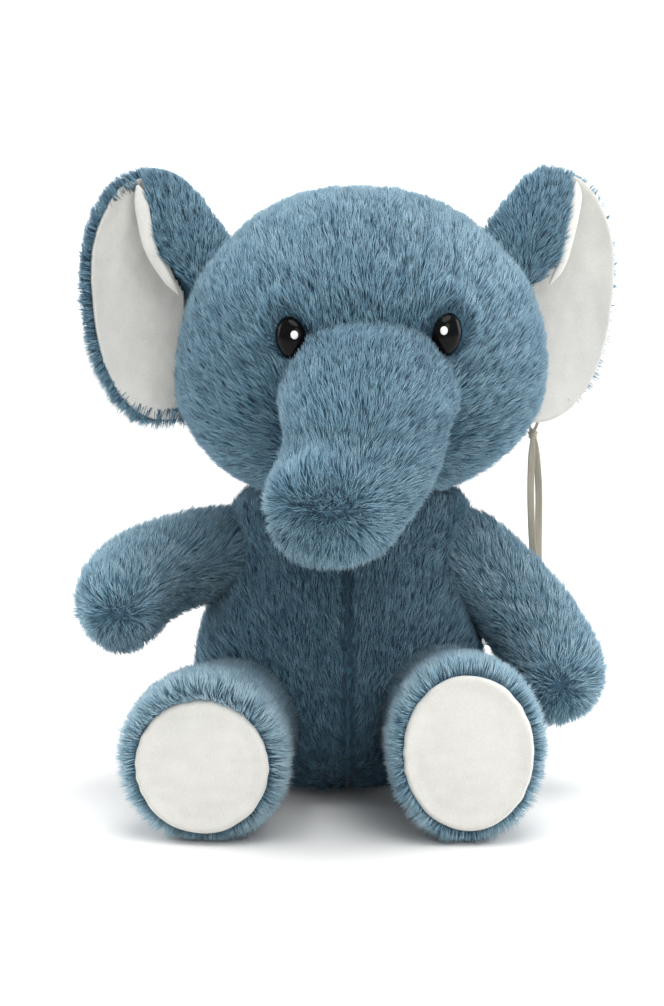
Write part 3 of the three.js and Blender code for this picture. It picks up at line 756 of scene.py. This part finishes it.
def strip(name, path, wide, thick, facing, material, corners=16, power=1.0):
    """A closed band along a path: oval in section, its broad face towards facing."""
    tangent = unit(np.gradient(path, axis=0))
    side = unit(np.cross(tangent, facing))
    up = unit(np.cross(side, tangent))
    angles = 2 * np.pi * np.arange(corners) / corners
    ca, sa = (np.sign(f) * np.abs(f) ** power for f in (np.cos(angles), np.sin(angles)))
    wide, thick = (np.broadcast_to(np.asarray(v, float), len(path)) for v in (wide, thick))
    rings = path[:, None] + side[:, None] * (ca * wide[:, None])[..., None] \
        + up[:, None] * (sa * thick[:, None])[..., None]
    points = [*rings.reshape(-1, 3), path[0], path[-1]]
    faces = []
    for row in range(len(path) - 1):
        for k in range(corners):
            n = (k + 1) % corners
            here, there = row * corners, (row + 1) * corners
            faces.append((here + k, there + k, there + n, here + n))
    last = (len(path) - 1) * corners
    faces += [((k + 1) % corners, len(points) - 2, k) for k in range(corners)]
    faces += [(last + k, len(points) - 1, last + (k + 1) % corners) for k in range(corners)]
    return new_object(name, mesh_from(name, points, faces), material)


RINGS, SPOKES = 34, 120
BOWL_DEPTH = 7.2 * MM                     # how far the lining's middle lies behind its edge
LINING_PROUD = 1.0 * MM                   # how far its edge stands before the ear's middle plane
CURL_FROM, CURL = 0.86, 0.52 * MM         # its last part curls forwards by this much
LINING_THICK = 1.2 * MM
HEM_THICK = 1.5 * MM                      # half the depth of the turned hem at the fold
for side, ear in EARS.items():
    points, faces = [], []
    narrow, short = ear["shrink"]
    for ring in range(RINGS + 1):
        share = ring / RINGS
        for k in range(SPOKES):
            a = 2 * math.pi * k / SPOKES
            reach = outline(a) * share
            x, z = reach * math.cos(a) * EAR_WIDE * narrow, reach * math.sin(a) * EAR_TALL * short
            bowl = BOWL_DEPTH * (1 - share ** 2.4) ** 0.9
            curl = CURL * max(0.0, share - CURL_FROM) / (1 - CURL_FROM)
            points.append(ear["pose"] @ Vector((x, bowl - LINING_PROUD - curl, z)))
    for ring in range(RINGS):
        for k in range(SPOKES):
            n = (k + 1) % SPOKES
            inner, outer = ring * SPOKES, (ring + 1) * SPOKES
            faces.append((inner + k, inner + n, outer + n, outer + k))
    lining = new_object(f"ear_lining_cloth_{side}", mesh_from("lining", points, faces), velboa)
    work = bmesh.new()
    work.from_mesh(lining.data)
    bmesh.ops.remove_doubles(work, verts=work.verts, dist=1e-6)
    places = np.array([v.co for v in work.verts])
    local = to_local(ear["pose"], places) / MM
    behind_fold = local[:, 0] * ear["side"] < fold_edge(ear, local[:, 2]) - 3
    hidden = (depth_in(skins["head"], places) > 3 * MM) | behind_fold
    bmesh.ops.delete(work, geom=[v for v, h in zip(work.verts, hidden) if h], context="VERTS")
    work.to_mesh(lining.data)
    work.free()
    spots = points_of(lining.data)
    sag = 0.35 * waves(spots, 24 * MM, 80 + len(side)) + 0.12 * waves(spots, 7 * MM, 90 + len(side))
    set_points(lining.data, spots + normals_of(lining.data) * sag[:, None] * MM)
    modify(lining, "SOLIDIFY", thickness=LINING_THICK, offset=0.0)
    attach(lining, f"ear_{side}")
    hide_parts(f"ear_lining_{side}")
    edge = []
    for (outward, high), wide in zip(ear["fold"], ear["hem"]):
        x, z = (outward + wide * 0.75) * MM * ear["side"], high * MM
        edge.append(ear["pose"] @ Vector((x, 1.6 * MM - front_height(x, z), z)))
    path = smooth_path(edge, 40)
    wide = np.interp(np.linspace(0, 1, 40), np.linspace(0, 1, 6), ear["hem"]) * MM
    ends = np.sqrt(np.clip(np.minimum(np.arange(40), np.arange(39, -1, -1)) / 5, 0.05, 1))
    facing = np.array(ear["pose"].to_3x3() @ Vector((0.55 * ear["side"], -1, 0)))
    hem = strip(f"ear_hem_{side}", path, wide * ends, HEM_THICK * ends, facing, velboa)
    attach(hem, f"ear_{side}")

# ---- fur on each skin: where it parts, and where the belly's seam is -------------------------
CHIN = np.array([0.008, -0.052, 0.122])
TRUNK_TIP = [np.array([-0.0185, -0.122, 0.131]), np.array([0.004, -0.122, 0.130])]
PAW_CREASE = {
    "left": [np.array([-0.097, -0.050, 0.0795]), np.array([-0.078, -0.053, 0.0815])],
    "right": [np.array([0.0865, -0.039, 0.0490]), np.array([0.0885, -0.039, 0.0485])],
}
BELLY_FOOT = np.array([0.0015, -0.020, -0.020])
SEAM_X = 0.003


def away_from(point, extra=(0, 0, 0)):
    """A comb that lays fur away from a point, with an extra pull."""
    return lambda spots: unit(spots - point) + np.array(extra)


def from_line(ends, spots):
    """The way to each spot from the nearest point of a short line."""
    start, run = ends[0], ends[1] - ends[0]
    share = np.clip((spots - start) @ run / (run @ run), 0, 1)[:, None]
    return spots - start - share * run


def away_from_line(ends):
    """Away from a short line, as fur parts at a sewn tip."""
    return lambda spots: unit(from_line(ends, spots))


def line_distance(ends, spots):
    return np.linalg.norm(from_line(ends, spots), axis=1)


RIM_SEED = 5
RIM_AREA = 900                            # square millimetres
RIM_FRONT = -0.9 * MM                     # the rim's place before the ear's middle plane


def rim_places(ear):
    """Places on the turned edge of the fur cloth, between the lining and the ear's outline."""
    local = np.random.default_rng(RIM_SEED)
    count = int(RIM_AREA * DENSITY)
    a = local.random(count) * 2 * np.pi
    share = ear["shrink"][0] - 0.01 + 0.1 * local.random(count)
    x, z = (outline(a) * share * turn * half for turn, half in ((np.cos(a), EAR_WIDE), (np.sin(a), EAR_TALL)))
    spots = np.stack([x, np.full(count, RIM_FRONT), z], 1)
    open_side = spots[:, 0] * ear["side"] / MM > fold_edge(ear, spots[:, 2] / MM) + 1
    spots = spots[open_side]
    fronts = np.tile(np.array(ear["pose"].to_3x3() @ Vector((0, -1, 0))), (len(spots), 1))
    return to_world(ear["pose"], spots), fronts


# fur near the eyes: [how strongly it lies away from them, its shortest length, how much painted shade darkens
# it round the eye's recess]
EYE_FUR = {"head_fur": (1.6, 0.15, 0.8), "trunk_fur": (-0.3, 0.8, 0.0)}


def round_eyes(name, spots, flow, size, tone):
    """Lays and trims the fur beside the eyes, and darkens it there: painted shade for the recess that each
    eye sits in.
    """
    push, shortest, eye_painted_shade = EYE_FUR[name]
    for pose in EYES.values():
        oval, outward = in_eye(spots, pose)
        beyond = np.maximum(oval - 1, 0)
        flow = flow + outward * (push * np.exp(-beyond / 0.35))[:, None]
        size = size * np.clip(0.35 + (oval - 0.8) * 0.9, shortest, 1)
        tone = tone - eye_painted_shade * np.exp(-beyond / 0.3)
    return flow, size, tone


def cover(name, body, skin, comb, clear_of=(), keep=None, length=None, shade=None, dense=1.0, mess=None,
          rim=None, **style):
    """Scatters fur on a skin, leaving out what other skins hide; rim adds places of its own."""
    spots, ups = scatter(skin.data, DENSITY * dense)
    if rim is not None:
        spots, ups = np.concatenate([spots, rim[0]]), np.concatenate([ups, rim[1]])
    wanted = np.ones(len(spots), bool) if keep is None else keep(spots, ups)
    for other, depth in clear_of:
        wanted[wanted] &= depth_in(skins[other], spots[wanted]) < depth * MM
    spots, ups = spots[wanted], ups[wanted]
    flow = comb(spots)
    size = np.ones(len(spots)) if length is None else length(spots)
    tone = np.zeros(len(spots)) if shade is None else shade(spots)
    if name in EYE_FUR:
        flow, size, tone = round_eyes(name, spots, flow, size, tone)
    wild = 0.0 if mess is None else mess(spots)
    grow_fur(name, body, spots, ups, flow, sum(map(ord, name)), length=size, shade=tone, mess=wild, **style)


def head_painted_light(spots):
    """Painted light: lighter on the crown, where the light falls from above, and on the cheek towards +X,
    which faces the key light.
    """
    return 0.75 * ramp(spots[:, 2], 0.185, 0.225) + 0.6 * ramp(spots[:, 0], 0.03, 0.06) - 0.1


def head_comb(spots):
    """Up over the face from the chin, over the crown and down the back of the head."""
    return away_from(CHIN)(spots) + ramp(spots[:, 1], -0.005, 0.03)[:, None] * [0, 0, -1.5]


def trunk_painted_light_and_shade(spots):
    """Painted light round the tip, and painted shade in the whorl at its middle, where the fur parts; a
    little deeper in tone all over.
    """
    return 0.7 * near(spots[:, 1] + 0.112, 0.018) - 0.3 - 0.9 * near(line_distance(TRUNK_TIP, spots), 5 * MM)


cover("head_fur", "head", skins["head"], head_comb, [("trunk", 5)], shade=head_painted_light)
cover("trunk_fur", "trunk", skins["trunk"], away_from_line(TRUNK_TIP), [("head", 8)], shade=trunk_painted_light_and_shade,
      mess=lambda s: near(line_distance(TRUNK_TIP, s), 9 * MM))


def belly_painted_shade(spots):
    """Painted shade along the front seam, in the crease where the fur parts, and towards the foot of the
    belly, under the head; the whole front is a little deeper in tone.
    """
    low = np.clip((0.075 - spots[:, 2]) / 0.06, 0, 1)
    return (-3.0 * near(spots[:, 0] - SEAM_X, 0.0013) - 0.7 * low - 0.3) * (spots[:, 1] < 0)


def torso_length(spots):
    """Shorter at the front seam and where the fur meets the ground."""
    seam = 0.25 * near(spots[:, 0] - SEAM_X, 1.5 * MM) * (spots[:, 1] < 0)
    return 0.95 - seam - 0.35 * (1 - ramp(spots[:, 2], 4 * MM, 16 * MM))


def belly_comb(spots):
    """Up and outwards from under the seat, parting at the front seam."""
    across = spots[:, 0] - SEAM_X
    parting = np.sign(across) * near(across, 4 * MM) * (spots[:, 1] < 0)
    return away_from(BELLY_FOOT)(spots) + parting[:, None] * [0.35, 0, 0]


cover("torso_fur", "torso", skins["torso"], belly_comb,
      [("head", 6), *((f"{limb}_{side}", 6) for limb in ("arm", "leg") for side in SIDES)],
      keep=lambda s, n: s[:, 2] > 4 * MM, shade=belly_painted_shade, length=torso_length)


def outer_face(ear):
    """A test that is true on an ear's outside, up to the rolled edge of the folded cloth."""
    def keep(spots, ups):
        outside = np.sum((spots - np.array(ear["pose"].translation)) * ups, axis=1) > -0.5 * MM
        local = to_local(ear["pose"], spots) / MM
        past_fold = local[:, 0] * ear["side"] > fold_edge(ear, local[:, 2]) - 1.2
        on_rim = (np.abs(local[:, 1] - RIM_FRONT / MM) < 0.01) & past_fold
        return on_rim | (outside & ~((local[:, 1] < -1) & past_fold))
    return keep


# what differs between the sides: how much painted light lies on the foot's front, how far up the ear's fur is
# brushed, its length, and whether its cloth shows beside the lining
FOOT_PAINTED_LIGHT = {"left": 2.1, "right": 1.6}
EAR_SWEEP = {"left": 0.15, "right": 0.9}
EAR_PILE = {"left": 0.82, "right": 0.85}
EAR_RIM = {"left": True, "right": False}
for side in SIDES:
    arm, leg, ear = f"arm_{side}", f"leg_{side}", f"ear_{side}"
    crease = PAW_CREASE[side]
    # the arms' fur is lighter all over as painted light, and deeper in tone along the paw's crease as painted
    # shade where the fur parts
    cover(f"{arm}_fur", arm, skins[arm], away_from_line(crease), [("torso", 8)],
          shade=lambda s, c=crease: 1.15 - 1.5 * near(line_distance(c, s), 4 * MM),
          mess=lambda s, c=crease: near(line_distance(c, s), 7 * MM))
    middle, half = sole_place(side)
    centre = np.array([middle.x, middle.y - 0.02, middle.z])
    # the fur round the front of each foot is lighter: painted light
    cover(f"{leg}_fur", leg, skins[leg], away_from(centre), [("torso", 8)], keep=off_sole(side), dense=1.4,
          lean=47.0, shade=lambda s, y=middle.y, pale=FOOT_PAINTED_LIGHT[side]: pale * near(s[:, 1] - y, 0.02))
    root = np.array(EARS[side]["root"])
    cover(f"{ear}_fur", ear, skins[ear], away_from(root, (0, EAR_SWEEP[side], 0)), [("head", 5)],
          keep=outer_face(EARS[side]), dense=1.5, rim=rim_places(EARS[side]) if EAR_RIM[side] else None,
          length=lambda s, share=EAR_PILE[side]: np.full(len(s), share))
cover("tail_fur", "tail", skins["tail"], lambda s: np.tile([0.0, 0.3, -1.0], (len(s), 1)),
      length=lambda s: np.full(len(s), 0.55))

# ---- ribbon ---------------------------------------------------------------------------------
RIBBON_WIDE, RIBBON_THICK = 3.0 * MM, 0.5 * MM
RIBBON_EXIT = (0.080, 0.025, 0.1535)
KNOT = Vector((0.080, 0.025, 0.1435))
RIBBON_ENDS = {
    "front": [RIBBON_EXIT, (0.0786, 0.0249, 0.1522), (0.0778, 0.0248, 0.1500), (0.0784, 0.0247, 0.1470),
              (0.0797, 0.0246, 0.1440), (0.0798, 0.0244, 0.1406), (0.0794, 0.0244, 0.131),
              (0.0793, 0.0246, 0.119), (0.0798, 0.0247, 0.105), (0.0806, 0.0247, 0.091),
              (0.0812, 0.0246, 0.076)],
    "back": [RIBBON_EXIT, (0.0814, 0.0253, 0.1522), (0.0822, 0.0254, 0.1500), (0.0816, 0.0255, 0.1470),
             (0.0803, 0.0256, 0.1440), (0.0808, 0.0259, 0.1406), (0.082, 0.0263, 0.131),
             (0.0828, 0.0268, 0.119), (0.0829, 0.0272, 0.105), (0.083, 0.0274, 0.093),
             (0.0832, 0.0275, 0.082)],
}
KNOT_PROFILE = [[0, 2.0], [0.35, 1.9], [0.7, 1.35], [0.92, 0.6], [1.0, 0], [0.92, -0.6], [0.7, -1.35],
                [0.35, -1.9], [0, -2.0]]
PATH_POINTS = 90
OPENING = 45                              # how sharply it opens out below the knot
NARROW_SHARE, NARROW_TO = 0.42, 0.19      # how narrow the knot draws it, and for what part of its length
knot = lathe("ribbon_knot_tied", KNOT_PROFILE, 2.0 * MM, 2.3 * MM, Matrix.Translation(KNOT), satin, sides=48)
spots = points_of(knot.data)
folds = 0.22 * np.sin((spots[:, 2] - KNOT.z) / MM * 3.4 + (spots[:, 0] - KNOT.x) / MM * 1.6)
set_points(knot.data, spots + normals_of(knot.data) * folds[:, None] * MM)
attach(knot, "ribbon")
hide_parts("ribbon_knot")
for name, places in RIBBON_ENDS.items():
    path = smooth_path([Vector(p) for p in places], PATH_POINTS)
    fall = np.linspace(0, 1, PATH_POINTS)
    opened = 1 / (1 + np.exp(-(fall - NARROW_TO) * OPENING))
    narrow = RIBBON_WIDE / 2 * (NARROW_SHARE + (1 - NARROW_SHARE) * opened)
    sway, twist = (0.25, -0.6) if name == "front" else (-0.3, 0.6)
    turn = sway * np.sin(fall * 5.0) + twist * (1 - fall) ** 6
    facing = np.stack([np.sin(turn), -np.cos(turn), 0 * turn], 1)
    band = strip(f"ribbon_{name}", path, narrow, RIBBON_THICK / 2, facing, satin, corners=12, power=0.6)
    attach(band, "ribbon")
    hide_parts(f"ribbon_tail_{name}", *(["ribbon_loop"] if name == "front" else []))

# ---- care label -----------------------------------------------------------------------------
low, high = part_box("care_label")
middle = (low + high) / 2
turn = math.radians(40)
path = [middle + Vector((math.sin(turn) * bulge, -math.cos(turn) * bulge, 0)) * MM + Vector((0, 0, drop * MM))
        for drop, bulge in ((10.5, 0.4), (6, -0.2), (0, -0.6), (-6, -0.3), (-10.5, 0.9))]
facing = np.array([math.sin(turn), -math.cos(turn), 0.0])
label = strip("care_label_folded", smooth_path(path, 24), 6.4 * MM, 0.3 * MM, facing, label_satin,
              corners=20, power=0.35)
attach(label, "torso")
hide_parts("care_label")

# ---- CAD nodes that stay --------------------------------------------------------------------
for side in SIDES:
    washer = frame["nodes"][f"eye_washer_{side}"]
    washer.data.materials.clear()
    washer.data.materials.append(washer_plastic)

# ---- floor and light ------------------------------------------------------------------------
FLOOR_HALF, PAPER_AT = 4, 2.2             # metres
corners = [(-FLOOR_HALF, -FLOOR_HALF, 0), (FLOOR_HALF, -FLOOR_HALF, 0),
           (FLOOR_HALF, FLOOR_HALF, 0), (-FLOOR_HALF, FLOOR_HALF, 0)]
floor = new_object("floor", mesh_from("floor", corners, [(0, 1, 2, 3)]),
                   cloth_material("floor_paper", "#f4f4f3", "#fafaf9", 4, 0.0))
paper = bpy.data.materials.new("backdrop_paper")
paper.use_nodes = True
finish = paper.node_tree.nodes["Principled BSDF"].inputs
finish["Base Color"].default_value = (1, 1, 1, 1)
finish["Emission Color"].default_value = (1, 1, 1, 1)
finish["Emission Strength"].default_value = 0.9
corners = [(-FLOOR_HALF, PAPER_AT, 0), (FLOOR_HALF, PAPER_AT, 0),
           (FLOOR_HALF, PAPER_AT, FLOOR_HALF), (-FLOOR_HALF, PAPER_AT, FLOOR_HALF)]
backdrop = new_object("backdrop", mesh_from("backdrop", corners, [(0, 3, 2, 1)]), paper)


def area_light(name, at, size, power):
    data = bpy.data.lights.new(name, "AREA")
    data.shape = "DISK"
    data.size = size
    data.energy = power
    lamp = bpy.data.objects.new(name, data)
    lamp.location = at
    lamp.rotation_euler = (LOOK_AT - Vector(at)).to_track_quat("-Z", "Y").to_euler()
    bpy.context.collection.objects.link(lamp)


area_light("overhead", (0.12, -0.30, 1.25), 1.1, 11)
area_light("front", (0.55, -1.25, 0.75), 0.8, 4.5)
area_light("left_rim", (-1.15, 0.40, 0.45), 0.9, 7)
area_light("right_rim", (1.15, 0.40, 0.45), 0.9, 7)
world = bpy.data.worlds.new("studio")
bpy.context.scene.world = world
world.use_nodes = True
world.node_tree.nodes["Background"].inputs["Color"].default_value = (1, 1, 1, 1)
world.node_tree.nodes["Background"].inputs["Strength"].default_value = 0.5
bpy.context.scene.view_settings.view_transform = "Standard"
